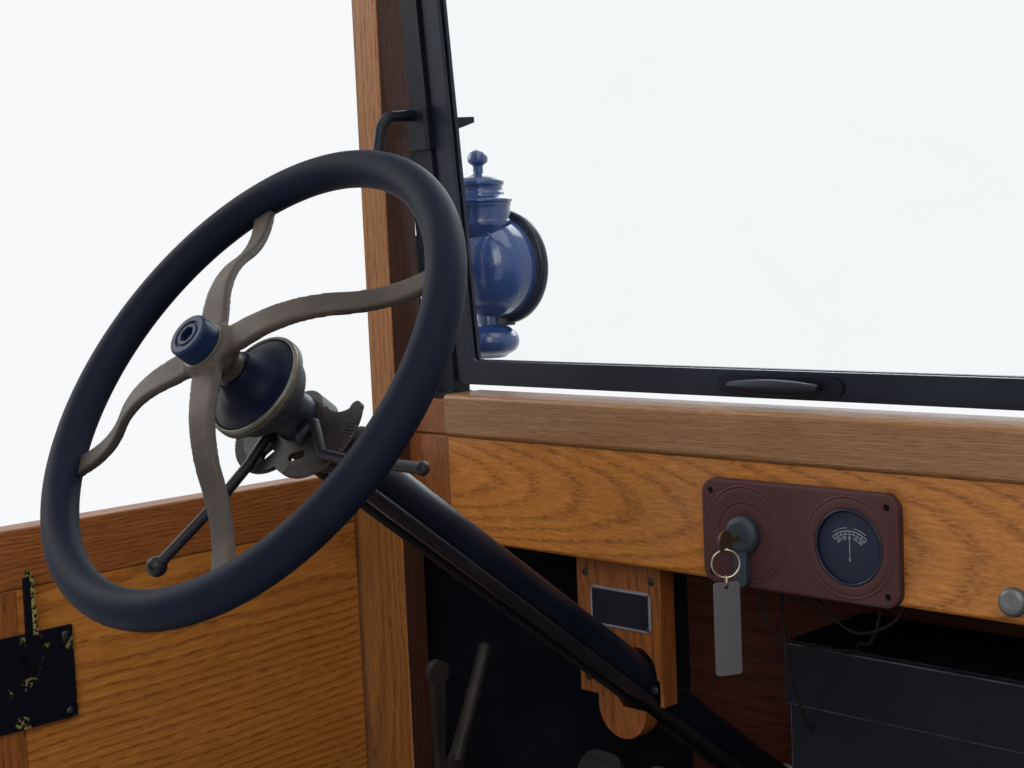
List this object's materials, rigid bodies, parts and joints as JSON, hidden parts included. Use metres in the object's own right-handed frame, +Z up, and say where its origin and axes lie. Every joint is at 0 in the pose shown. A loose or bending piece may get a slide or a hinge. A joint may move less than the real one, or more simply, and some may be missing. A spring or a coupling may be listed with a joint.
{
  "type": "car dashboard, windscreen and steering section",
  "caption": "Front body section of a wood-bodied 1920s car: oak dash, windscreen, doors, steering wheel and column.",
  "frame": {"origin": "middle of the base, on the floor", "axes": "+X to the car's right, +Y to its front, +Z up"},
  "size_m": [1.504, 1.04, 1.3],
  "materials": {
    "varnished_oak": "golden oak under gloss varnish",
    "floor_oak": "worn dark boards",
    "brown_plate": "matt maroon brown",
    "black_enamel": "gloss black enamel",
    "blue_black_enamel": "gloss blue-black enamel",
    "grey_metal": "satin grey",
    "nickel": "worn nickel plate",
    "clear_glass": "clear",
    "black_rim": "satin black moulded rim",
    "dark_steel": "oiled dark steel",
    "worn_black": "black paint worn at the edges"
  },
  "bodies": {
    "body_section": {"bearers": "varnished_oak", "cross_members": "varnished_oak", "door_sills": "varnished_oak", "floor_boards": "floor_oak", "left_post": "varnished_oak", "right_post": "varnished_oak", "header": "varnished_oak", "dash_end_blocks": "varnished_oak", "dash_rail": "varnished_oak", "dash_board": "varnished_oak", "column_board": "varnished_oak", "instrument_panel": "brown_plate", "ammeter": "black_enamel", "ignition_switch": "grey_metal", "key_and_tag": "grey_metal", "choke_knob": "nickel", "cowl": "black_enamel", "firewall": "varnished_oak", "coil_box": "black_enamel", "coil_box_lid": "black_enamel", "windscreen_frame": "black_enamel", "windscreen_glass": "clear_glass", "windscreen_latch": "black_enamel", "windscreen_brackets": "black_enamel", "left_lamp": "blue_black_enamel", "right_lamp": "blue_black_enamel", "lamp_lenses": "clear_glass", "gear_case": "dark_steel", "column_tube": "black_enamel", "column_bracket": "black_enamel", "quadrant": "dark_steel", "spark_lever": "dark_steel", "throttle_lever": "dark_steel", "foot_pedals": "dark_steel", "handbrake": "dark_steel", "post_hinges": "worn_black"},
    "left_door": {"left_door_frame": "varnished_oak", "left_door_panel": "varnished_oak", "left_door_fittings": "worn_black"},
    "right_door": {"right_door_frame": "varnished_oak", "right_door_panel": "varnished_oak", "right_door_fittings": "worn_black"},
    "wheel": {"wheel_rim": "black_rim", "wheel_spider": "grey_metal", "hub_nut": "black_enamel"},
    "steering_shaft": {"steering_shaft": "dark_steel"}
  },
  "joints": [
    {"name": "left_door_hinge", "type": "hinge", "parent": "body_section", "child": "left_door", "pos_m": [-0.745, 0.063, 0.3], "axis": [0, 0, -1], "range_deg": [0, 70]},
    {"name": "right_door_hinge", "type": "hinge", "parent": "body_section", "child": "right_door", "pos_m": [0.745, 0.063, 0.3], "axis": [0, 0, 1], "range_deg": [0, 70]},
    {"name": "wheel_turn", "type": "hinge", "parent": "body_section", "child": "wheel", "pos_m": [-0.33, -0.34, 0.74], "axis": [0.014, -0.8006, 0.599], "range_deg": [-225, 225]},
    {"name": "shaft_turn", "type": "hinge", "parent": "body_section", "child": "steering_shaft", "pos_m": [-0.33699, 0.0603, 0.44049], "axis": [0.014, -0.8006, 0.599], "range_deg": [-45, 45]}
  ],
  "couplings": [
    {"joint": "shaft_turn", "follows": "wheel_turn", "ratio": 0.2}
  ]
}
